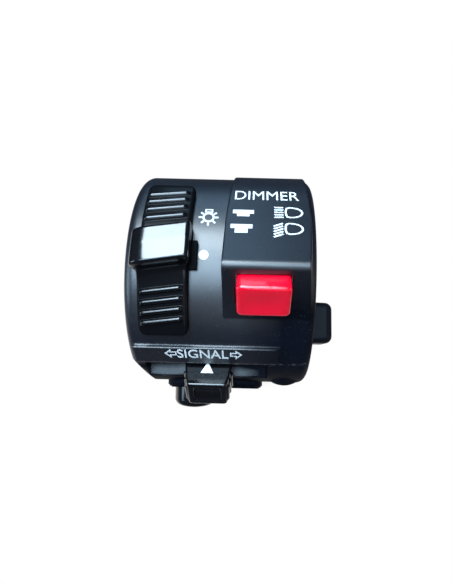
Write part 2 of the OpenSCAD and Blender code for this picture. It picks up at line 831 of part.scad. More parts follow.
// Domed horn button
module horn_button() {
  crown = 0.7;
  edge = 1.6;
  color(GLOSS) tilted() at_angle(horn_x, -horn_a, 0) rotate_extrude() {
    translate([0, horn_flange_r]) square([horn_d/2, horn_end - crown - edge - horn_flange_r]);
    translate([0, horn_end - crown - edge - EPS]) square([horn_d/2 - edge, edge + EPS]);
    intersection() {
      translate([horn_d/2 - edge, horn_end - crown - edge]) circle(edge);
      translate([0, horn_end - crown - edge - EPS]) square([horn_d, edge + EPS]);
    }
    intersection() {
      translate([0, horn_end - dome_r(crown, horn_d/2 - edge)])
        circle(dome_r(crown, horn_d/2 - edge), $fn = 96);
      translate([0, horn_end - crown - EPS]) square([horn_d/2 - edge, crown + EPS]);
    }
  }
}

// Radius of a dome that rises by h over the half width w
function dome_r(h, w) = (w*w + h*h)/(2*h);

// Flange that stops inside the shell, with stem
module horn_plunger() {
  color(NYLON) tilted() at_angle(horn_x, -horn_a, 0) {
    block([-horn_flange_l/2, -horn_flange_w/2, horn_flange_r - horn_flange_t],
      [horn_flange_l/2, horn_flange_w/2, horn_flange_r]);
    translate([0, 0, horn_tip_r]) cylinder(r = horn_stem_r,
      h = horn_flange_r - horn_flange_t - horn_tip_r + EPS);
  }
}

// Return spring round the horn stem
module horn_spring() {
  color(STEEL) tilted() at_angle(horn_x, -horn_a, 0)
    spring(horn_stem_r + 0.8, 0.5, horn_plate_r, horn_flange_r - horn_flange_t, 2);
}

// Contact plate, hollowed to sit on the sleeve and under the recess's floor
module horn_contact_plate() {
  color(RESIN) tilted() difference() {
    at_angle(horn_x, -horn_a, 0)
      block([-horn_plate_l/2, -horn_plate_w/2, sleeve_r - 2],
        [horn_plate_l/2, horn_plate_w/2, horn_plate_r]);
    rod(sleeve_r, -40, 40);
    block([-40, -40, -turn_h - turn_floor], [40, 40, 10]);
  }
}

// Fixed contact under the stem
module horn_contact() {
  color(BRASS) tilted() at_angle(horn_x, -horn_a, horn_plate_r) cylinder(r = 1.2, h = 0.3);
}

// Moves children to the loom's exit, +X out of the housing and +Z against the bend
module at_exit() {
  translate([half_len, exit_y, -exit_off]) rotate([exit_a, 0, 0]) children();
}

// Rubber boot: inner flange, neck through the wall, square elbow and tapered tail
module cable_boot() {
  e = boot_edge;
  color(BLACK) tilted() at_exit() {
    rod(exit_flange_r, -end_wall - 2, -end_wall);
    rod(exit_hole_r, -end_wall - 1, 1);
    hull() {
      for (sy = [-1, 1]) translate([boot_out - e, sy*(boot_w/2 - e), 0]) {
        translate([0, 0, boot_up - e]) sphere(e, $fn = 24);
        translate([0, 0, -boot_down]) cylinder(r = e, h = 1, $fn = 24);
      }
      block([0, -boot_w/2 + 1, -boot_down], [1, boot_w/2 - 1, boot_up]);
      block([0, -boot_w/2, -boot_down], [1, boot_w/2, boot_up - 1]);
    }
    hull() {
      translate([boot_mid, 0, -boot_down]) linear_extrude(0.3)
        round_rect(boot_out - 0.6, boot_w - 0.6, 2);
      translate([boot_mid, 0, -boot_down - boot_tail]) cylinder(d = boot_tip_d, h = 0.3);
    }
  }
}

// Loom from the boot down to the coil
module loom_lead() {
  color(BLACK) tube(concat([boot_end, boot_end + loom_d*boot_dir], LEAD,
    [coil_top + [0, 0, loom_d], coil_top]), loom_d/2, boot_dir, [0, 0, -1], [0, 1, 0], 8);
}

// Rest of the loom, wound into a coil that hangs below the boot
module loom_coil() {
  color(BLACK) tube(concat(COIL, [coil_end + [0, 0, loom_d]]), loom_d/2,
    [0, 0, -1], [0, 0, 1], [0, 1, 0], 6);
}

// Strap round the turns at the coil's foot
module coil_tie() {
  strap = 1;
  w = loom_d + 0.8;
  layers = coil_turns + 1;
  d = coil_pitch*(layers - 1) + loom_d + 0.8;
  color(GLOSS) translate(coil_mid + [-2, coil_pitch*(layers/2 - 0.25), -coil_r])
    rotate([90, 0, 90]) linear_extrude(4) difference() {
      round_rect(d + 2*strap, w + 2*strap, loom_d/2 + strap);
      round_rect(d, w, loom_d/2);
    }
}

// Plug housing at the loom's end, open upwards
module connector_body() {
  color(NYLON) translate(coil_end + [0, plug_side, loom_d]) {
    difference() {
      union() {
        linear_extrude(plug_h) round_rect(plug_w, plug_d, 1);
        translate([-1.5, plug_d/2 - 0.5, plug_h - 12]) cube([3, 1.8, 9]);
      }
      translate([0, 0, 8]) linear_extrude(plug_h)
        round_rect(plug_w - 2*plug_wall, plug_d - 2*plug_wall, 0.6);
    }
  }
}

// Two rows of blades in the plug
module connector_terminals() {
  color(BRASS) translate(coil_end + [0, plug_side, loom_d + 8])
    for (ix = [-1:1], iy = [-1, 1])
      translate([ix*3.4 - 0.9, iy*1.7 - 0.3, 0]) cube([1.8, 0.6, 6]);
}

upper_housing();
lower_housing();
clamp_screw_rear();
clamp_screw_front();
light_slider();
light_carrier();
light_wiper();
light_contact_plate();
light_contacts();
dip_button();
dip_plunger();
dip_spring();
dip_base();
dip_contacts();
turn_knob();
turn_carrier();
turn_wiper();
turn_contact_plate();
turn_contacts();
horn_button();
horn_plunger();
horn_spring();
horn_contact_plate();
horn_contact();
cable_boot();
loom_lead();
loom_coil();
coil_tie();
connector_body();
connector_terminals();
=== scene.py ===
"""Looks of a left-hand handlebar switch cluster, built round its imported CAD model.

The switch frame used below is the cluster's own: X along the bar, the housing's
split at Z = 0, the rider towards -Y, in millimetres. The row frame is the CAD
model's: the same, turned on the bar by TILT, in metres. Angles about the bar are in
degrees, from the rider's side up over the top.
"""
import json
import math

import bmesh
import bpy
import numpy as np
from mathutils import Matrix, Vector


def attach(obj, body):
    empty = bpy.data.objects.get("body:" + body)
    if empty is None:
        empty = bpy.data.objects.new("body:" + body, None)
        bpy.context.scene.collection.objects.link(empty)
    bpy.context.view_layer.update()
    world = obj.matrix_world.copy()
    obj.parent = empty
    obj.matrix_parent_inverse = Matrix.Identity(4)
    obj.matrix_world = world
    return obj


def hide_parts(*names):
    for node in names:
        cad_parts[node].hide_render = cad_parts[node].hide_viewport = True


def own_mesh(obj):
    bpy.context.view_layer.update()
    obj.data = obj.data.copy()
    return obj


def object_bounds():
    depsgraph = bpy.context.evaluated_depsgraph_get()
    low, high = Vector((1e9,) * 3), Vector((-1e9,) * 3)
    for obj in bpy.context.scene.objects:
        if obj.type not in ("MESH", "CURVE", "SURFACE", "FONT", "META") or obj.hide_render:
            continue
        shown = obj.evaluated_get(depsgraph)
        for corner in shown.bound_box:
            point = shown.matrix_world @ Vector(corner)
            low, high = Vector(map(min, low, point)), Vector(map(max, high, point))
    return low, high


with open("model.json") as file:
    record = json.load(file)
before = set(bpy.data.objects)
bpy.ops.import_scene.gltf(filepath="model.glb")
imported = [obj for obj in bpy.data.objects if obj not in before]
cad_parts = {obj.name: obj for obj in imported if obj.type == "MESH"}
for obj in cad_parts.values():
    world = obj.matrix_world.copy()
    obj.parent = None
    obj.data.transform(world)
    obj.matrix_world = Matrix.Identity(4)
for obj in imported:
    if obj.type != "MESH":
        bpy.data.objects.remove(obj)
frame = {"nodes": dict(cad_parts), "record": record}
cad_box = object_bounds()
nodes = frame["nodes"]

MM = 0.001
TILT = math.radians(20)
BODY_R = 25.0
QUARTER = math.pi/2


def to_row(points):
    """Switch frame in millimetres to row frame in metres: a turn of minus TILT about X."""
    p = np.asarray(points, float)
    c, s = math.cos(TILT), math.sin(TILT)
    return MM*np.stack([p[..., 0], c*p[..., 1] + s*p[..., 2], c*p[..., 2] - s*p[..., 1]], -1)


def on_bar(x, angle, radius):
    """Point at an angle about the bar: x, minus radius times cosine, radius times sine."""
    a = np.radians(angle)
    x, a, radius = np.broadcast_arrays(x, a, radius)
    return np.stack([x, -radius*np.cos(a), radius*np.sin(a)], -1)


def add_object(name, data):
    """New object with that data, linked into the scene at the origin."""
    obj = bpy.data.objects.new(name, data)
    bpy.context.scene.collection.objects.link(obj)
    return obj


# Camera, along the row frame's axes

CAMERA_OFF = 112.0          # distance from the bar axis, millimetres
CAMERA_X = 7.2              # place along the bar, millimetres
CAMERA_UP = 65.0            # elevation on the rider's side, degrees
CAMERA_ROLL = 1.4           # degrees
FRAME_PX = (452.0, 584.0)
FOCAL_PX = 439.0            # focal length in pixels of that frame
FOOT_PX = (256.0, 281.0)    # where the camera's axis meets that frame
SENSOR = 36.0
CLIP = (0.005, 20.0)        # metres


def make_camera():
    """Camera square to the bar; shift puts the foot of its axis at FOOT_PX."""
    lift = math.radians(CAMERA_UP)
    roll = math.radians(CAMERA_ROLL)
    back = Vector((0, -math.cos(lift), math.sin(lift)))
    upright = Vector((0, math.sin(lift), math.cos(lift)))
    along = Vector((1, 0, 0))
    right = along*math.cos(roll) + upright*math.sin(roll)
    up = upright*math.cos(roll) - along*math.sin(roll)
    lens = bpy.data.cameras.new("camera")
    lens.sensor_fit = "AUTO"
    lens.sensor_width = SENSOR
    lens.lens = SENSOR*FOCAL_PX/FRAME_PX[1]
    lens.shift_x = (FRAME_PX[0]/2 - FOOT_PX[0])/FRAME_PX[1]
    lens.shift_y = (FOOT_PX[1] - FRAME_PX[1]/2)/FRAME_PX[1]
    lens.clip_start, lens.clip_end = CLIP
    camera = add_object("camera", lens)
    place = Matrix.Translation(Vector((CAMERA_X*MM, 0, 0)) + back*CAMERA_OFF*MM)
    camera.matrix_world = place @ Matrix((right, up, back)).transposed().to_4x4()
    bpy.context.scene.camera = camera


make_camera()


# Shader maths


class Value:
    """A shader output with arithmetic: each operator adds one Math node."""

    def __init__(self, finish, socket):
        self.finish, self.socket = finish, socket

    def node(self, operation, *terms):
        """Math node of that operation on the terms."""
        return self.finish.add("Math", {"operation": operation}, dict(enumerate(terms)))

    def math(self, operation, *terms):
        """One more operation with this value as its first term."""
        return self.node(operation, self, *terms)

    def __add__(self, other):
        return self.node("ADD", self, other)

    def __radd__(self, other):
        return self.node("ADD", other, self)

    def __sub__(self, other):
        return self.node("SUBTRACT", self, other)

    def __rsub__(self, other):
        return self.node("SUBTRACT", other, self)

    def __mul__(self, other):
        return self.node("MULTIPLY", self, other)

    def __rmul__(self, other):
        return self.node("MULTIPLY", other, self)

    def __truediv__(self, other):
        return self.node("DIVIDE", self, other)

    def __pow__(self, other):
        return self.node("POWER", self, other)


class Finish:
    """A node tree that grows by one method, add."""

    def __init__(self, owner):
        owner.use_nodes = True
        self.owner, self.tree = owner, owner.node_tree
        self.tree.nodes.clear()

    def add(self, kind, settings=None, sockets=None, out=0):
        """Adds a node: settings first, then each socket's number, colour or link."""
        node = self.tree.nodes.new("ShaderNode" + kind)
        for key, value in (settings or {}).items():
            if key == "stops":
                ramp = node.color_ramp.elements
                while len(ramp) < len(value):
                    ramp.new(0.5)
                for stop, (place, colour) in zip(ramp, value):
                    stop.position, stop.color = place, (*colour, 1)
            else:
                setattr(node, key, value)
        for key, value in (sockets or {}).items():
            target = node.inputs[key]
            if isinstance(value, Value):
                self.tree.links.new(value.socket, target)
            elif target.type == "RGBA":
                target.default_value = (*value, 1)
            else:
                target.default_value = value
        return Value(self, node.outputs[out]) if node.outputs else None

    def place(self, axes, kind="Object"):
        """The shaded point's coordinates on those axes."""
        where = self.add("TexCoord", out=kind)
        return [self.add("SeparateXYZ", None, {"Vector": where}, out=axis) for axis in axes]

    def noise(self, scale, detail=2.0, rough=0.5, where=None):
        """Noise between 0 and 1 with features about 1/scale metres across."""
        where = where or self.add("TexCoord", out="Object")
        return self.add("TexNoise", None, {"Vector": where, "Scale": scale, "Detail": detail,
                                           "Roughness": rough})

    def spread(self, value, low, high):
        """Value mapped from low..high to 0..1 and clipped."""
        return self.add("MapRange", {"clamp": True},
                        {"Value": value, "From Min": low, "From Max": high})

    def mix(self, factor, a, b):
        """Colour between a and b."""
        return self.add("Mix", {"data_type": "RGBA"}, {0: factor, 6: a, 7: b}, out=2)


# Finishes: places and lengths in metres, frequencies per metre

# Pale colour of dust specks, and of a painted highlight along the housing's split
DUST_AND_HIGHLIGHT = (0.10, 0.105, 0.12)
# Settings of the matt copy that reflects little, mixed in as painted shade
MATT = {"Roughness": 0.62, "Specular IOR Level": 0.06, "Coat Weight": 0.0}


def painted_shade_dulling(f):
    """Painted shade: the share of the housing dulled to a matt copy that reflects little, low down
    at its right end, at the back of the recess, less so on the recess's ramp, and along its foot.

    Height runs along a line that leans from upright towards the back, with a slight waver;
    each pair of bounds goes from glossy to fully matt.
    """
    lean_y, lean_z = 0.906, 0.423
    waver, waver_scale = 0.003, 90
    right, low = (0.004, 0.013), (0.002, -0.006)
    recess, ramp, foot = (-0.0183, -0.0189), (-0.0192, -0.0206), (-0.0216, -0.0228)
    x, y, z = f.place("XYZ")
    height = lean_y*y + lean_z*z + waver*(f.noise(waver_scale, detail=3) - 0.5)
    low_right = f.spread(x, *right)*f.spread(height, *low)
    in_recess = f.spread(height, *recess)*(1 - 0.5*f.spread(height, *ramp))
    at_foot = f.spread(height, *foot)
    return (low_right + in_recess + at_foot).math("MINIMUM", 1.0)


def dust_and_seam_highlight(f):
    """Share of a pale colour on the housing: sparse specks of dust, and a painted highlight as a
    broken line along its split.
    """
    share = 0.55
    seam_highlight_edge, seam_highlight_scale, seam_highlight_breaks = (0.0005, 0.0003), 1300, (0.50, 0.60)
    speck_scale, speck_level = 3600, (0.70, 0.76)
    y, z = f.place("YZ")
    off_split = (math.sin(TILT)*y + math.cos(TILT)*z).math("ABSOLUTE")
    # The broken line along the split is a painted highlight of the seam's edge; the specks are dust
    line = f.spread(off_split, *seam_highlight_edge)*f.spread(f.noise(seam_highlight_scale), *seam_highlight_breaks)
    specks = f.spread(f.noise(speck_scale, detail=1), *speck_level)
    return share*line.math("MAXIMUM", specks)


def shaded_between_ribs(f):
    """Painted shade on the slider: the share of a matt copy that reflects little, on the floor
    between its ribs, and wholly on its sides and lug, all nearer to the bar than the ribs' crests."""
    floor_share, floor, side = 0.85, (0.0271, 0.0268), (0.0265, 0.0262)
    y, z = f.place("YZ")
    radius = (y*y + z*z)**0.5
    return floor_share*f.spread(radius, *floor) + (1 - floor_share)*f.spread(radius, *side)


def plastic(name, dark, light, rough, grain, depth, patch=60, spread=0.08, bevel=0.0, dull=None,
            dust_and_highlight=None, **shader):
    """Moulded surface: colour drifts between dark and light, fine grain and smears in the
    bump and the roughness.

    grain is the grain's frequency and depth the bump's height; patch is the frequency of the
    colour's drift and spread the range of the roughness; bevel is the radius that softens
    the light on sharp edges; dull gives the share of a matt copy that reflects little, mixed
    in as painted shade, and dust_and_highlight that of a pale colour, for specks of dust and
    for a painted highlight.
    """
    drift_level, smear_scale, smear_height = (0.35, 0.65), 0.11*grain, 0.6
    f = Finish(bpy.data.materials.new(name))
    drift = f.spread(f.noise(patch, detail=4), *drift_level)
    fine = f.noise(grain, detail=3, rough=0.6)
    smear = f.noise(smear_scale, detail=5, rough=0.65)
    colour = f.mix(drift, dark, light)
    if dust_and_highlight:
        colour = f.mix(dust_and_highlight(f), colour, DUST_AND_HIGHLIGHT)
    normal = {"Strength": 1.0, "Distance": depth, "Height": fine + smear_height*smear}
    if bevel:
        normal["Normal"] = f.add("Bevel", {"samples": 8}, {"Radius": bevel})
    sockets = {
        "Base Color": colour,
        "Roughness": rough + spread*(smear - 0.5) + 0.5*spread*(fine - 0.5),
        "Normal": f.add("Bump", None, normal),
    }
    for key, value in shader.items():
        sockets[key.replace("_", " ")] = value
    surface = f.add("BsdfPrincipled", None, sockets)
    # The matt copy, mixed in by the mask, is painted shade wherever the mask puts it
    if dull:
        matt = f.add("BsdfPrincipled", None, {**sockets, **MATT})
        surface = f.add("MixShader", None, {0: dull(f), 1: surface, 2: matt})
    f.add("OutputMaterial", None, {"Surface": surface})
    return f.owner


def metal(name, dark, light, rough, lines, depth):
    """Bare metal: brushed streaks in roughness and bump, a little tarnish in the colour.

    lines is the frequency of the streaks and depth their height.
    """
    stretch, edge = (1.0, 1.0, 0.12), 0.0001
    tarnish_scale, tarnish_level = 220, (0.4, 0.7)
    f = Finish(bpy.data.materials.new(name))
    where = f.add("Mapping", None, {"Vector": f.add("TexCoord", out="Object"), "Scale": stretch})
    streak = f.noise(lines, detail=3, rough=0.6, where=where)
    tarnish = f.spread(f.noise(tarnish_scale, detail=4), *tarnish_level)
    edges = f.add("Bevel", {"samples": 6}, {"Radius": edge})
    surface = f.add("BsdfPrincipled", None, {
        "Base Color": f.mix(tarnish, light, dark),
        "Roughness": rough + 0.14*(streak - 0.5) + 0.1*tarnish,
        "Metallic": 1.0,
        "Normal": f.add("Bump", None, {"Strength": 0.6, "Distance": depth, "Height": streak,
                                       "Normal": edges}),
    })
    f.add("OutputMaterial", None, {"Surface": surface})
    return f.owner


POLISHED = dict(dark=(0.0016, 0.0017, 0.0024), light=(0.0028, 0.0030, 0.0040), rough=0.16,
                grain=900, depth=1.2e-6, spread=0.06, Specular_IOR_Level=0.5, Coat_Weight=0.25,
                Coat_Roughness=0.05)
# Painted shade: the housing's matt share low on the right, in the recess and along its foot. Painted
# highlight: the pale broken line along its split.
HOUSING = plastic("satin_black", dark=(0.0022, 0.0032, 0.0068), light=(0.0034, 0.0047, 0.0098),
                  rough=0.39, grain=2600, depth=9e-6, bevel=0.0006, dull=painted_shade_dulling, dust_and_highlight=dust_and_seam_highlight,
                  Specular_IOR_Level=0.95)
GLOSS = plastic("polished_black", **POLISHED)
# The slider's matt share between the ribs and on its sides and lug is painted shade
RIBBED = plastic("ribbed_black", dull=shaded_between_ribs, **POLISHED)
RED = plastic("polished_red", dark=(0.90, 0.0015, 0.020), light=(0.94, 0.003, 0.028),
              rough=0.24, grain=700, depth=2e-6, spread=0.06, Specular_IOR_Level=0.24,
              Coat_Weight=0.9, Coat_Roughness=0.05)
NYLON = plastic("natural_nylon", dark=(0.62, 0.60, 0.52), light=(0.72, 0.70, 0.62),
                rough=0.46, grain=1500, depth=8e-6, bevel=0.00015)
RESIN = plastic("brown_laminate", dark=(0.13, 0.065, 0.028), light=(0.21, 0.115, 0.055),
                rough=0.42, grain=2400, depth=8e-6, patch=420, bevel=0.0001)
RUBBER = plastic("boot_rubber", dark=(0.0035, 0.0045, 0.0075), light=(0.0060, 0.0075, 0.0115),
                 rough=0.48, grain=1900, depth=1.2e-5, bevel=0.0005, Specular_IOR_Level=0.12)
SLEEVE = plastic("loom_sleeve", dark=(0.008, 0.008, 0.009), light=(0.013, 0.013, 0.015),
                 rough=0.38, grain=1300, depth=1.5e-5)
STRAP = plastic("tie_strap", dark=(0.010, 0.010, 0.011), light=(0.016, 0.016, 0.018),
                rough=0.36, grain=1500, depth=8e-6, bevel=0.0002)
PAINT = plastic("white_print", dark=(0.66, 0.69, 0.70), light=(0.80, 0.82, 0.82),
                rough=0.55, grain=3200, depth=6e-6, patch=300)
STEEL = metal("zinc_steel", dark=(0.36, 0.36, 0.38), light=(0.62, 0.63, 0.65),
              rough=0.30, lines=2600, depth=4e-6)
SPRING = metal("spring_wire", dark=(0.40, 0.40, 0.42), light=(0.60, 0.61, 0.63),
               rough=0.24, lines=3000, depth=3e-6)
BRASS = metal("stamped_brass", dark=(0.42, 0.25, 0.08), light=(0.72, 0.50, 0.20),
              rough=0.26, lines=2600, depth=3e-6)

NODE_FINISH = {
    "upper_housing": HOUSING, "lower_housing": HOUSING,
    "clamp_screw_rear": STEEL, "clamp_screw_front": STEEL,
    "light_slider": RIBBED, "light_carrier": NYLON, "light_wiper": BRASS,
    "light_contact_plate": RESIN, "light_contacts": BRASS,
    "dip_button": RED, "dip_plunger": NYLON, "dip_spring": SPRING, "dip_base": RESIN,
    "dip_contacts": BRASS,
    "turn_knob": GLOSS, "turn_carrier": NYLON, "turn_wiper": BRASS,
    "turn_contact_plate": RESIN, "turn_contacts": BRASS,
    "horn_button": GLOSS, "horn_plunger": NYLON, "horn_spring": SPRING,
    "horn_contact_plate": RESIN, "horn_contact": BRASS,
    "cable_boot": RUBBER, "loom_lead": SLEEVE, "loom_coil": SLEEVE, "coil_tie": STRAP,
    "connector_body": NYLON, "connector_terminals": BRASS,
}
for node_name, finish in NODE_FINISH.items():
    materials = nodes[node_name].data.materials
    materials.clear()
    materials.append(finish)


# Mesh making


def build(name, points, faces, finish, body, replaces):
    """Smooth mesh in the row frame from points and arrays of faces, one array for each
    count of corners."""
    mesh = bpy.data.meshes.new(name)
    corners = np.concatenate([np.full(len(f), f.shape[1]) for f in faces])
    mesh.vertices.add(len(points))
    mesh.vertices.foreach_set("co", np.asarray(points, np.float32).ravel())
    mesh.loops.add(int(corners.sum()))
    mesh.loops.foreach_set("vertex_index", np.concatenate([f.ravel() for f in faces]))
    mesh.polygons.add(len(corners))
    mesh.polygons.foreach_set("loop_start", np.concatenate([[0], np.cumsum(corners)[:-1]]))
    mesh.polygons.foreach_set("use_smooth", np.full(len(corners), True))
    mesh.update(calc_edges=True)
    mesh.materials.append(finish)
    piece = add_object(name, mesh)
    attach(piece, body)
    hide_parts(*replaces)


def ring_faces(rings, count):
    """Quads between neighbouring rings of count points, each ring closed."""
    i, j = np.meshgrid(np.arange(rings - 1), np.arange(count), indexing="ij")
    k = (j + 1) % count
    quads = [i*count + j, i*count + k, (i + 1)*count + k, (i + 1)*count + j]
    return np.stack(quads, -1).reshape(-1, 4)


def outward(points, faces):
    """Turns the faces round where the closed skin they make has a negative volume."""
    volume = 0.0
    for f in faces:
        a = points[f[:, 0]]
        for k in range(1, f.shape[1] - 1):
            b, c = points[f[:, k]], points[f[:, k + 1]]
            volume += np.einsum("ij,ij->i", a, np.cross(b, c)).sum()
    return faces if volume > 0 else [f[:, ::-1] for f in faces]


def skin(rings):
    """Closed skin over rings (m, n, 3): quads between them, a fan to the middle of each end."""
    m, n = rings.shape[:2]
    points = np.concatenate([rings.reshape(-1, 3), rings[:1].mean(1), rings[-1:].mean(1)])
    j = np.arange(n)
    k = (j + 1) % n
    caps = np.concatenate([
        np.stack([k, j, np.full(n, m*n)], -1),
        np.stack([(m - 1)*n + j, (m - 1)*n + k, np.full(n, m*n + 1)], -1)])
    return points, outward(points, [ring_faces(m, n), caps])


def join(*skins):
    """Several skins as one set of points and faces."""
    points, faces, first = [], [], 0
    for p, fs in skins:
        points.append(p)
        faces += [f + first for f in fs]
        first += len(p)
    return np.concatenate(points), faces


def rounded_ring(width, height, radius, corner=6, edge=6):
    """Outline of a rectangle with round corners about its middle: a quarter circle of
    corner steps at each corner, edge points on each side between them."""
    arcs = []
    for quarter, (sx, sy) in enumerate([(1, 1), (-1, 1), (-1, -1), (1, -1)]):
        t = np.linspace(0, QUARTER, corner + 1) + quarter*QUARTER
        arcs.append(np.stack([sx*(width/2 - radius) + radius*np.cos(t),
                              sy*(height/2 - radius) + radius*np.sin(t)], -1))
    share = np.linspace(0, 1, edge + 2)[1:-1, None]
    ring = []
    for arc, after in zip(arcs, arcs[1:] + arcs[:1]):
        ring += [arc, arc[-1] + share*(after[0] - arc[-1])]
    return np.concatenate(ring)


def smoothstep(t):
    """Cubic rise from 0 to 1."""
    t = np.clip(t, 0, 1)
    return t*t*(3 - 2*t)


def box_skin(lo, hi):
    """Closed box between two corners, as two rings."""
    (x0, y0, z0), (x1, y1, z1) = lo, hi
    low = np.array([[x0, y0, z0], [x1, y0, z0], [x1, y1, z0], [x0, y1, z0]], float)
    top = low.copy()
    top[:, 2] = z1
    return skin(np.stack([low, top]))


# Loom, in millimetres along the row frame's axes

LOOM_D = 4.5
BOOT_END = (24.05, -1.604, -29.717)
BOOT_DIR = (0.0, 0.2588, -0.9659)
LEAD = [(24, 0.7, -38.4), (24.7, 1.8, -42.7), (25.5, 2.9, -47), (26.4, 4, -51.3)]
SPAN_STEPS = 6
COIL_TOP = (27, 5, -60)
COIL_R = 24.0
COIL_PITCH = LOOM_D + 0.9
COIL_TURNS = 3.5
TURN_STEPS = 64


def loom_route():
    """Route in metres: a Catmull-Rom curve out of the boot and down the lead, then the
    coil's turns as a helix."""
    start, along = np.array(BOOT_END), np.array(BOOT_DIR)
    top = np.array(COIL_TOP, float)
    knots = np.concatenate([[start, start + LOOM_D*along], LEAD, [top + (0, 0, LOOM_D), top]])
    ends = np.concatenate([[2*knots[0] - knots[1]], knots, [2*knots[-1] - knots[-2]]])
    t = np.linspace(0, 1, SPAN_STEPS + 1)[:-1, None]
    a, b, c, d = (ends[i:len(ends) - 3 + i, None] for i in range(4))
    lead = 0.5*(2*b + (c - a)*t + (2*a - 5*b + 4*c - d)*t**2 + (3*b - a - 3*c + d)*t**3)
    turn = np.linspace(0, COIL_TURNS, int(COIL_TURNS*TURN_STEPS) + 1)
    angle = 2*math.pi*turn
    coil = top + np.stack([COIL_R*(np.cos(angle) - 1), COIL_PITCH*turn, -COIL_R*np.sin(angle)], -1)
    return np.concatenate([lead.reshape(-1, 3), coil, [coil[-1] + (0, 0, LOOM_D)]])*MM


def make_loom():
    """The loom as one open curve with a round section."""
    route = loom_route()
    curve = bpy.data.curves.new("loom", "CURVE")
    curve.dimensions = "3D"
    spline = curve.splines.new("POLY")
    spline.points.add(len(route) - 1)
    spline.points.foreach_set("co", np.c_[route, np.ones(len(route))].astype(np.float32).ravel())
    curve.bevel_depth = LOOM_D*MM/2
    curve.bevel_resolution = 5
    curve.use_fill_caps = True
    curve.materials.append(SLEEVE)
    loom = add_object("loom", curve)
    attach(loom, "housing")
    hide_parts("loom_lead", "loom_coil")


make_loom()


# Switches, in the switch frame


def tab_radius(angle, middle=60.0, top=30.8, foot=25.0):
    """Radius of the thumb tab's outline along rays about the bar.

    The outline is a polygon of tangent and height about the tab's middle; each ray's
    length is the farthest crossing with the polygon's sides.
    """
    outline = np.array([[-5.6, foot], [-4.75, top - 1.1], [-4.5, top - 0.1], [-0.6, top - 0.2],
                        [2.9, top - 0.65], [3.7, foot]])
    least, slack = 1e-9, 1e-6
    d = np.radians(np.asarray(angle) - middle)
    ray = np.stack([np.sin(d), np.cos(d)], -1)
    a, b = outline[:-1], outline[1:]
    side = b - a
    cross = ray[..., None, 0]*side[:, 1] - ray[..., None, 1]*side[:, 0]
    safe = np.where(np.abs(cross) < least, least, cross)
    reach = (a[:, 0]*side[:, 1] - a[:, 1]*side[:, 0])/safe
    share = (a[:, 0]*ray[..., None, 1] - a[:, 1]*ray[..., None, 0])/safe
    hit = (share >= -slack) & (share <= 1 + slack) & (reach > 0)
    return np.where(hit, reach, 0).max(-1)


def blur(values, width):
    """Row of values smoothed by a Gaussian of that width in samples."""
    n = int(3*width) + 1
    kernel = np.exp(-0.5*(np.arange(-n, n + 1)/width)**2)
    kernel /= kernel.sum()
    padded = np.pad(values, n, mode="edge")
    return np.convolve(padded, kernel, "valid")


def slider_skin():
    """Curved cover: radius = base + ribs + tab over angle and place along the bar.

    Ribs are low ridges a fixed angle apart, slanted to the bar, four to each side of the
    tab; the tab's outline is smoothed along the angle, with a fillet at its foot; the cover
    widens under the tab; its corners are round, and the long edges and the two ends are
    rounded down by quarter circles, wider on the tab's left.
    """
    x, half = -11.1, 5.0
    first, last, margin = 19.0, 95.0, 8.0
    inner, middle, outer, thin = 25.3, 26.0, 26.7, 0.25
    slant, slant_r = 8.0, 27.0
    tab_first, tab_last, over_left, over_right = 50.2, 67.2, 0.9, 0.4
    fillet_at, fillet_high, fillet_wide = 50.6, 2.2, 2.6
    tab_blur, side_blur = 0.42, 0.35
    rib_above, rib_below, rib_step, ribs = 73.0, 40.4, 4.5, 4
    rib_high, rib_wide, rib_power = 0.6, 1.4, 2.2
    rib_left, rib_right, rib_fade = 0.45, 1.0, 0.5
    corner, edge, tab_edge, tab_drop = 1.8, 0.7, 2.3, 1.1
    rows, columns, samples = 1281, 33, 4001

    # Profiles over the angle alone
    fine = np.linspace(first - margin, last + margin, samples)
    step = fine[1] - fine[0]
    below = np.clip(fillet_at - fine, 0, None)
    fillet = fillet_high*np.exp(-below/fillet_wide)*(fine < fillet_at)
    tab = blur(np.maximum(tab_radius(fine), outer + fillet), tab_blur/step)
    wide = blur(((fine > tab_first) & (fine < tab_last)).astype(float), side_blur/step)
    rib_at = [rib_above + rib_step*i for i in range(ribs)]
    rib_at += [rib_below - rib_step*i for i in range(ribs)]
    rib = sum(np.clip(1 - np.abs((fine - a)/rib_wide)**rib_power, 0, 1) for a in rib_at)

    # Grid of angle and place across
    angle = np.linspace(first, last, rows)
    unit = np.sin(np.linspace(-QUARTER, QUARTER, columns))
    left = unit < 0
    over = np.where(left, over_left, over_right)
    tilt = math.tan(math.radians(slant))*math.degrees(1/slant_r)
    grow = np.interp(angle[:, None] - half*unit*tilt, fine, wide)
    from_end = np.minimum(angle - first, last - angle)*math.radians(middle)
    trim = corner - np.sqrt(corner**2 - np.clip(corner - from_end, 0, corner)**2)
    half_at = (half - trim)[:, None]
    across = half_at*unit + grow*over*np.sign(unit)*unit**2

    # Radius: tab and ribs, less what the rounded edges take off
    at = angle[:, None] - across*tilt
    fade = (smoothstep((across + half - rib_left)/rib_fade)
            *smoothstep((half - rib_right - across)/rib_fade))
    top = np.interp(at, fine, tab) + rib_high*np.interp(at, fine, rib)*fade
    side = edge + tab_edge*grow*left
    u = np.clip((np.abs(across) - half_at - over*grow + side)/side, 0, 1)
    drop = (edge + tab_drop*grow*left)*(1 - np.sqrt(1 - u**2))
    v = np.clip((edge - from_end)/edge, 0, 1)
    end_drop = edge*(1 - np.sqrt(1 - v**2))
    top = np.maximum(top - drop - end_drop[:, None], inner + thin)
    upper = on_bar(x + across, angle[:, None], top)
    under = on_bar(x + across[:, ::-1], angle[:, None], np.full_like(top, inner))
    return skin(np.concatenate([upper, under], 1))


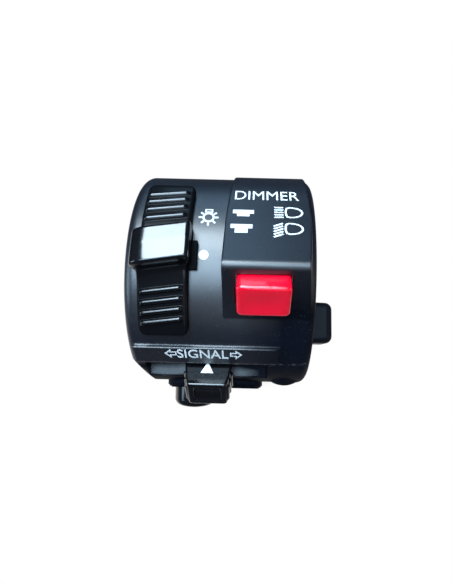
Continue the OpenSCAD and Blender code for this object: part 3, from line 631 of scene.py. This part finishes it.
def sector_skin(r0, r1, x0, x1, a0, a1, steps=12):
    """Closed ring sector about the bar."""
    a = np.linspace(a0, a1, steps)[:, None]
    corner = [on_bar(x, a, r) for x, r in ((x0, r0), (x1, r0), (x1, r1), (x0, r1))]
    return skin(np.concatenate(corner, 1))


def lug_skin(r0, r1, x0, x1, a0, a1, edge=0.3):
    """Closed ring sector with round edges: rounded-rectangle rings along the angle."""
    turn = np.linspace(0, QUARTER, 6)
    inset = edge*(1 - np.sin(turn))
    ahead = np.degrees(edge*(1 - np.cos(turn))/r1)
    angles = np.concatenate([a0 + ahead, a1 - ahead[::-1]])
    rings = []
    for angle, d in zip(angles, np.concatenate([inset, inset[::-1]])):
        ring = rounded_ring(x1 - x0 - 2*d, r1 - r0 - 2*d, edge - d/2)
        rings.append(on_bar((x0 + x1)/2 + ring[:, 0], angle, (r0 + r1)/2 + ring[:, 1]))
    return skin(np.array(rings))


def make_slider():
    """Cover, the leg through the shell and a lug beside the tab."""
    leg = sector_skin(r0=21.2, r1=25.35, x0=-12.8, x1=-9.4, a0=53, a1=65)
    lug = lug_skin(r0=25.3, r1=26.2, x0=-7.1, x1=-4.5, a0=49, a1=62.5)
    points, faces = join(slider_skin(), leg, lug)
    build("slider_cover", to_row(points), faces, RIBBED, "light_switch",
          replaces=["light_slider"])


FACE_EDGE, FACE_MIDDLE = 0.97, 0.04     # shares of a front's outline, from its edge inwards


def make_dip_button():
    """Button: rounded-rectangle rings from root to front, a quarter circle round the front's
    edge, and the front drawn into a shallow dish, a smooth hill across times one upright."""
    x, z, width, height = 8.7, 19.7, 10.2, 7.9
    back, front = 19.9, 25.4
    wall, wall_inset = [back, back + 1.5, 22.6], [0, 0, 0.02]
    edge, corner, least_corner, face_corner = 0.75, 1.0, 0.5, 0.6
    dish_deep, dish_wide, dish_high, dish_low = 0.22, 4.2, 2.9, 0.3
    turn = np.linspace(0, QUARTER, 9)
    stations = np.concatenate([wall, front - edge + edge*np.sin(turn)])
    inset = np.concatenate([wall_inset, edge*(1 - np.cos(turn))])
    rings = []
    for y, d in zip(stations, inset):
        ring = rounded_ring(width - 2*d, height - 2*d, max(corner - 0.4*d, least_corner))
        rings.append(np.c_[x + ring[:, 0], np.full(len(ring), -y), z + ring[:, 1]])
    face = rounded_ring(width - 2*edge, height - 2*edge, face_corner)
    for share in np.linspace(FACE_EDGE, FACE_MIDDLE, 26):
        u, v = (face*share).T
        hill = np.clip(1 - ((v + dish_low)/dish_high)**2, 0, 1)**1.6
        dish = dish_deep*smoothstep(1.2*(1 - (u/dish_wide)**2))*hill
        rings.append(np.c_[x + u, dish - front, z + v])
    points, faces = skin(np.array(rings))
    build("dip_cap", to_row(points), faces, RED, "dip_switch",
          replaces=["dip_button"])


KNOB_X = -2.59
KNOB_TOP = -0.7
RAMP_FRONT = 25.37      # distance of the recess's ramp's front from the bar


def knob_low(y):
    """Height of the knob's underside over the distance y from the bar: it follows the
    recess's ramp down to the level of its front."""
    return float(np.interp(y, [21.5, RAMP_FRONT], [-4.7, -7.6]))


def make_turn_knob():
    """Knob: rounded-rectangle rings from root to lip, narrower from the taper on.

    Ribs are half-round swellings of the sides; the lip leans back over its last stretch, and
    its front is drawn into a dish.
    """
    root, taper, lip = 20.83, 24.3, 30.8
    wide, narrow = 10.4, 8.2
    edge, corner, side_points = 0.6, 0.5, 14
    rib_at = [taper + share*(lip - taper) for share in (0.35, 0.6, 0.85)]
    rib_half, rib_high, rib_depth, rib_margin, rib_fade = 0.55, 0.45, 0.25, 0.7, 0.5
    lean, lean_run = 0.5, 2.0
    dish_deep, dish_high, dish_wide, dish_fade = 0.8, 2.5, 3.1, 0.8
    turn = np.linspace(0, QUARTER, 7)[1:]
    straight = np.concatenate([np.linspace(root, RAMP_FRONT, 60),
                               np.linspace(RAMP_FRONT + 0.03, lip - edge, 100)])
    stations = np.concatenate([straight, lip - edge + edge*np.sin(turn)])
    inset = np.concatenate([np.zeros(len(straight)), edge*(1 - np.cos(turn))])
    rings = []
    for y, d in zip(stations, inset):
        low = knob_low(y)
        height, mid = KNOB_TOP - low, (KNOB_TOP + low)/2
        share = max(0.0, (y - taper)/(lip - taper))
        width = wide + share*(narrow - wide) - 2*d
        ring = rounded_ring(width, height - 2*d, corner, edge=side_points)
        u, v = ring[:, 0].copy(), ring[:, 1]
        swell = sum(max(0.0, 1 - ((y - a)/rib_half)**2)**0.5 for a in rib_at)
        fade = smoothstep((height/2 - rib_margin - np.abs(v))/rib_fade)
        u += np.sign(u)*rib_high*swell*(np.abs(u) > width/2 - rib_depth)*fade
        back = lean*max(0.0, (y - lip + lean_run)/lean_run)*np.clip(v/height + 0.5, 0, 1)
        rings.append(np.c_[KNOB_X + u, back - y, mid + v])
    face = rounded_ring(narrow - 2*edge, height - 2*edge, corner, edge=side_points)
    for share in np.linspace(FACE_EDGE, FACE_MIDDLE, 24):
        u, v = (face*share).T
        hill = np.clip(1 - (v/dish_high)**2, 0, 1)
        dish = dish_deep*hill*smoothstep((dish_wide - np.abs(u))/dish_fade)
        back = lean*np.clip(v/height + 0.5, 0, 1)
        rings.append(np.c_[KNOB_X + u, dish + back - lip, mid + v])
    neck = box_skin((KNOB_X - 3.5, -21.8, -3.2), (KNOB_X + 2.5, -18.2, -1.2))
    points, faces = join(skin(np.array(rings)), neck)
    build("turn_cap", to_row(points), faces, GLOSS, "turn_switch",
          replaces=["turn_knob"])


def make_horn_button():
    """Button turned about its own axis: straight wall, quarter-circle edge, and a dome that
    falls with the square of the distance from the axis."""
    x, angle = -7.39, -43.0
    radius, foot, end = 5.0, 21.9, 32.0
    edge, crown = 1.6, 0.7
    turn = np.linspace(0, QUARTER, 10)[1:]
    wall = end - crown - edge
    dome = np.linspace(radius - edge, 0.05, 14)[1:]
    profile = np.concatenate([
        np.c_[np.full(3, radius), [foot, (foot + wall)/2, wall]],
        np.c_[radius - edge + edge*np.cos(turn), wall + edge*np.sin(turn)],
        np.c_[dome, end - crown + crown*(1 - (dome/(radius - edge))**2)]])
    spin = np.linspace(0, 2*math.pi, 65)[:-1, None]
    a = math.radians(angle)
    out = np.array([0, -math.cos(a), math.sin(a)])
    side = np.array([0, math.sin(a), math.cos(a)])
    along = np.array([1, 0, 0])
    circle_way = np.cos(spin)*along + np.sin(spin)*side
    rings = x*along + profile[:, None, 1:]*out + profile[:, None, :1]*circle_way
    points, faces = skin(rings)
    build("horn_cap", to_row(points), faces, GLOSS, "horn_switch",
          replaces=["horn_button"])


def make_spring(node, joint):
    """Return spring of a button, put on the housing in the CAD coil's place.

    The coil is the CAD coil with its corners merged; the share of its length along the
    button's axis that remains at full travel is worked out, but no point is moved by it.
    """
    row = next(j for j in frame["record"]["behaviour"]["joints"] if j["name"] == joint)
    mesh = nodes[node].data.copy()
    work = bmesh.new()
    work.from_mesh(mesh)
    bmesh.ops.remove_doubles(work, verts=work.verts, dist=MM*MM)
    work.to_mesh(mesh)
    work.free()
    coil = add_object(node + "_coil", mesh)
    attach(coil, "housing")
    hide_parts(node)
    points = np.empty(3*len(mesh.vertices))
    mesh.vertices.foreach_get("co", points)
    points = points.reshape(-1, 3)
    axis = np.array(row["axis"])
    along = points @ axis
    share = 1 - row["range_m"][1]/(along.max() - along.min())
    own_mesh(coil)


make_slider()
make_dip_button()
make_turn_knob()
make_horn_button()
make_spring("dip_spring", "dip_press")
make_spring("horn_spring", "horn_press")


# Printed marks: flat shapes in millimetres, laid on a surface of the switch frame

FILM = 0.012            # height of the print's foot over its surface
FILM_THICK = 0.04
POD_TOP = 26.2
POD_FALL = 0.6          # how far the pod's top falls over POD_RUN, from the rider back
POD_RUN = 20.8
PANEL_BACK = 25.35


class Print:
    """Flat shapes gathered as points and faces, laid out by one mapping to the switch frame."""

    def __init__(self):
        self.points, self.faces, self.count = [], [], 0

    def lay(self, flat, faces, place):
        """Adds flat points, mapped by place, and their faces."""
        self.points.append(to_row(place(np.asarray(flat, float))))
        self.faces += [[i + self.count for i in f] for f in faces]
        self.count += len(flat)

    def polygon(self, flat, place):
        """One face, turned to run anticlockwise."""
        flat = np.asarray(flat, float)
        x, y = flat[:, 0], flat[:, 1]
        if (x*np.roll(y, -1) - y*np.roll(x, -1)).sum() < 0:
            flat = flat[::-1]
        self.lay(flat, [range(len(flat))], place)

    def stroke(self, path, width, place, closed=False):
        """A line of that width: points set off to both sides along the mitre."""
        sharpest = 0.4
        p = np.asarray(path, float)
        ahead = np.roll(p, -1, 0) - p
        behind = p - np.roll(p, 1, 0)
        if not closed:
            ahead[-1], behind[0] = behind[-1], ahead[0]
        normal = [np.stack([-d[:, 1], d[:, 0]], -1)/np.linalg.norm(d, axis=1)[:, None]
                  for d in (ahead, behind)]
        mitre = normal[0] + normal[1]
        mitre *= width/np.maximum((mitre*mitre).sum(1), sharpest)[:, None]
        n = len(p)
        spans = range(n if closed else n - 1)
        self.lay(np.concatenate([p - mitre, p + mitre]),
                 [[i, (i + 1) % n, n + (i + 1) % n, n + i] for i in spans], place)

    def word(self, text, box, place, bold=0.0):
        """A word set in Blender's own letters, stretched to fill box = (u0, v0, u1, v1)."""
        curve = bpy.data.curves.new(text, "FONT")
        curve.body, curve.offset, curve.resolution_u = text, bold, 4
        letters = add_object(text, curve)
        bpy.context.view_layer.update()
        mesh = letters.evaluated_get(bpy.context.evaluated_depsgraph_get()).to_mesh()
        flat = np.empty(3*len(mesh.vertices))
        mesh.vertices.foreach_get("co", flat)
        flat = flat.reshape(-1, 3)[:, :2]
        faces = [list(f.vertices) for f in mesh.polygons]
        letters.to_mesh_clear()
        bpy.data.objects.remove(letters)
        bpy.data.curves.remove(curve)
        low, high = flat.min(0), flat.max(0)
        corner, far = np.array(box[:2]), np.array(box[2:])
        self.lay(corner + (flat - low)/(high - low)*(far - corner), faces, place)

    def piece(self, name, body):
        """The print as one thin piece on a body."""
        mesh = bpy.data.meshes.new(name)
        mesh.from_pydata(np.concatenate(self.points).tolist(), [], self.faces)
        mesh.update(calc_edges=True)
        mesh.materials.append(PAINT)
        piece = add_object(name, mesh)
        film = piece.modifiers.new("film", "SOLIDIFY")
        film.thickness, film.offset = FILM_THICK*MM, 1.0
        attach(piece, body)
        return piece


def on_pod(flat):
    """Pod's top: flat and rising towards the rider, round about the bar behind its axis."""
    u, v = flat[:, 0], flat[:, 1]
    r = POD_TOP - POD_FALL + FILM
    a = np.maximum(v, 0)/POD_TOP
    rise = POD_FALL*np.maximum(-v, 0)/POD_RUN
    return np.stack([u, np.where(v > 0, r*np.sin(a), v), r*np.cos(a) + rise], -1)


def on_panel(flat):
    """Panel over the recess, upright towards the rider."""
    return np.stack([flat[:, 0], np.full(len(flat), -PANEL_BACK - FILM), flat[:, 1]], -1)


def on_knob(flat):
    """Knob's top."""
    return np.stack([flat[:, 0], flat[:, 1], np.full(len(flat), KNOB_TOP + FILM)], -1)


def on_drum(x, angle):
    """Round housing about a middle at x and angle."""
    def place(flat):
        return on_bar(x + flat[:, 0], angle + np.degrees(flat[:, 1]/BODY_R), BODY_R + FILM)
    return place


def shifted(place, u, v):
    """The mapping with its middle moved to u, v."""
    return lambda flat: place(flat + np.array([u, v]))


def circle(radius, count=40):
    """Points round a circle about the middle."""
    a = np.linspace(0, 2*math.pi, count + 1)[:-1]
    return radius*np.stack([np.cos(a), np.sin(a)], -1)


def rectangle(half, low, high):
    """Corners of a rectangle across the middle line, between two heights."""
    return [(-half, low), (half, low), (half, high), (-half, high)]


def lamp_sign(sheet, place):
    """Lamp: a ring with rays round it and a cap on top."""
    ring, line, cap_line = 1.05, 0.42, 0.3
    ray_start, ray_end, ray_angles = 1.35, 2.05, [-90, -45, 0, 180, 225, 38, 142]
    sheet.stroke(circle(ring), line, place, closed=True)
    for a in np.radians(ray_angles):
        way = np.array([math.cos(a), math.sin(a)])
        sheet.stroke([ray_start*way, ray_end*way], line, place)
    sheet.stroke(rectangle(0.68, 1.4, 2.1), cap_line, place, closed=True)


def beam_sign(sheet, place, fall):
    """Headlamp: a bullet-shaped outline with five rays that fall by that much to the left."""
    line, ray_line = 0.40, 0.44
    half, nose_out, ray_start, ray_end = 1.72, 2.6, -1.15, -3.0
    t = np.linspace(-QUARTER, QUARTER, 15)
    nose = np.stack([0.1 + nose_out*np.cos(t)**0.85, half*np.sin(t)], -1)
    back = [(-0.42, 1.5), (-0.62, 0.8), (-0.68, 0), (-0.62, -0.8), (-0.42, -1.5)]
    sheet.stroke(np.concatenate([nose, back]), line, place, closed=True)
    for v in np.linspace(half, -half, 5):
        sheet.stroke([(ray_start, v), (ray_end, v - fall)], ray_line, place)


def push_sign(sheet, place, stem):
    """Push button seen from the side: a wide cap on a stem of that height."""
    cap_half, cap_high, stem_half = 2.15, 1.3, 1.27
    sheet.polygon(rectangle(cap_half, 0, cap_high), place)
    sheet.polygon(rectangle(stem_half, -stem, 0), place)


def arrow_sign(sheet, place, side):
    """Outline arrow that points to one side."""
    tip, neck, tail, wing, shaft, line = 1.15, 0.1, -1.05, 1.15, 0.5, 0.28
    path = np.array([(tip, 0), (neck, wing), (neck, shaft), (tail, shaft), (tail, -shaft),
                     (neck, -shaft), (neck, -wing)])*(side, 1)
    sheet.stroke(path, line, place, closed=True)


def make_marks():
    """Signs and words on the housing, and the pointer on the knob."""
    sheet = Print()
    sheet.polygon(circle(1.0), on_drum(-3.4, 56.4))
    lamp_sign(sheet, on_drum(-2.9, 76))
    sheet.word("DIMMER", (2.3, -1.35, 15.9, 2.0), on_pod)
    push_sign(sheet, shifted(on_pod, 4.3, -6.55), stem=0.9)
    push_sign(sheet, shifted(on_pod, 4.1, -11.5), stem=1.45)
    beam_sign(sheet, shifted(on_pod, 13.6, -5.85), fall=0.0)
    beam_sign(sheet, shifted(on_pod, 13.4, -11.35), fall=1.0)
    sheet.word("SIGNAL", (-8.9, 1.95, 1.8, 4.85), on_panel, bold=0.008)
    arrow_sign(sheet, shifted(on_panel, -10.2, 3.4), side=-1)
    arrow_sign(sheet, shifted(on_panel, 3.35, 3.4), side=1)
    sheet.piece("housing_print", "housing")
    knob = Print()
    knob.polygon([(-4.1, -27.3), (-1.4, -27.3), (-2.75, -24.5)], on_knob)
    knob.piece("knob_print", "turn_switch")


make_marks()


# Studio, in metres of the row frame

WHITE = (1.0, 1.0, 1.0)
BLACK = (0.0, 0.0, 0.0)


def make_world():
    """Soft studio: pale blue overhead, greyer to the sides, dim warm from below, dark beyond
    the far side; white where it is seen directly."""
    strength, far_share, far = 0.28, 0.85, (0.25, 0.75)
    world = bpy.data.worlds.new("studio")
    bpy.context.scene.world = world
    f = Finish(world)
    away, rise = f.place("YZ", "Generated")
    shade = f.add("ValToRGB", {"stops": [
        (0.0, (0.30, 0.27, 0.25)), (0.45, (0.20, 0.20, 0.22)), (0.62, (0.26, 0.32, 0.42)),
        (1.0, (0.44, 0.58, 0.78))]}, {"Fac": 0.5 + 0.5*rise})
    shade = f.mix(far_share*f.spread(away, *far), shade, BLACK)
    glow = f.add("Background", None, {"Color": shade, "Strength": strength})
    white = f.add("Background", None, {"Color": WHITE, "Strength": 1.0})
    both = f.add("MixShader", None, {0: f.add("LightPath", out="Is Camera Ray"), 1: glow, 2: white})
    f.add("OutputWorld", None, {"Surface": both})


def make_floor():
    """Pale floor: white with a soft shadow under the loom where it is seen directly.

    Polished surfaces mirror it as a white sheet under the cluster that falls to grey all
    round, and to near black beyond the far side.
    """
    size, gap = 6.0, 0.004
    middle_x, middle_y, reach_x, reach_y, shadow = 0.003, 0.021, 0.034, 0.031, (0.25, 1.0)
    near, back, left, right = (-0.11, -0.05), (0.13, 0.06), (-0.28, -0.14), (0.15, 0.06)
    far, side_grey, far_grey = (0.12, 0.40), (0.070, 0.080, 0.105), (0.010, 0.011, 0.015)
    shadow_grey, diffuse = (0.22, 0.22, 0.23), (0.6, 0.6, 0.6)
    low = cad_box[0][2] - gap
    mesh = bpy.data.meshes.new("floor")
    corners = [(-size, -size, low), (size, -size, low), (size, size, low), (-size, size, low)]
    mesh.from_pydata(corners, [], [(0, 1, 2, 3)])
    floor = add_object("floor", mesh)
    f = Finish(bpy.data.materials.new("white_floor"))
    x, y = f.place("XY")
    off = (((x - middle_x)/reach_x)**2.0 + ((y - middle_y)/reach_y)**2.0)**0.5
    bare = f.spread(off, *shadow)
    sheet = f.spread(y, *near)*f.spread(y, *back)*f.spread(x, *left)*f.spread(x, *right)
    seen, glossy, through = (f.add("LightPath", out=f"Is {ray} Ray")
                             for ray in ("Camera", "Glossy", "Transmission"))
    grey = f.mix(f.spread(y, *far), side_grey, far_grey)
    colour = f.mix(seen, f.mix(bare*sheet, grey, WHITE), f.mix(bare, shadow_grey, WHITE))
    white = f.add("Emission", None, {"Color": colour, "Strength": 1.0})
    pale = f.add("BsdfDiffuse", None, {"Color": diffuse})
    direct = seen.math("MAXIMUM", glossy).math("MAXIMUM", through)
    both = f.add("MixShader", None, {0: direct, 1: pale, 2: white})
    f.add("OutputMaterial", None, {"Surface": both})
    mesh.materials.append(f.owner)


def softbox(name, angle, side, distance, size, power, colour):
    """Area lamp at an elevation about the bar from the rider's side, aimed at the bar."""
    a = math.radians(angle)
    place = Vector((side, -distance*math.cos(a), distance*math.sin(a)))
    lamp = bpy.data.lights.new(name, "AREA")
    lamp.shape = "RECTANGLE"
    lamp.size, lamp.size_y = size
    lamp.energy, lamp.color = power, colour
    box = add_object(name, lamp)
    box.matrix_world = Matrix.Translation(place) @ place.to_track_quat("Z", "X").to_matrix().to_4x4()


make_world()
make_floor()
softbox("window", angle=106, side=-0.10, distance=0.50, size=(0.20, 0.22), power=3.6,
        colour=(0.70, 0.87, 1.0))
softbox("overhead", angle=77, side=-0.06, distance=0.50, size=(0.26, 0.30), power=3.0,
        colour=(0.56, 0.79, 1.0))
softbox("far_window", angle=150, side=-0.05, distance=0.55, size=(0.36, 0.14), power=0.42,
        colour=(0.38, 0.68, 1.0))
softbox("left_fill", angle=60, side=-0.55, distance=0.25, size=(0.30, 0.30), power=1.3,
        colour=(0.62, 0.83, 1.0))
softbox("warm_right", angle=35, side=0.50, distance=0.20, size=(0.30, 0.30), power=0.4,
        colour=(1.0, 0.76, 0.58))
softbox("rider", angle=38, side=0.10, distance=0.60, size=(0.40, 0.24), power=0.36,
        colour=(0.84, 0.91, 1.0))

view = bpy.context.scene.view_settings
view.view_transform = "Standard"
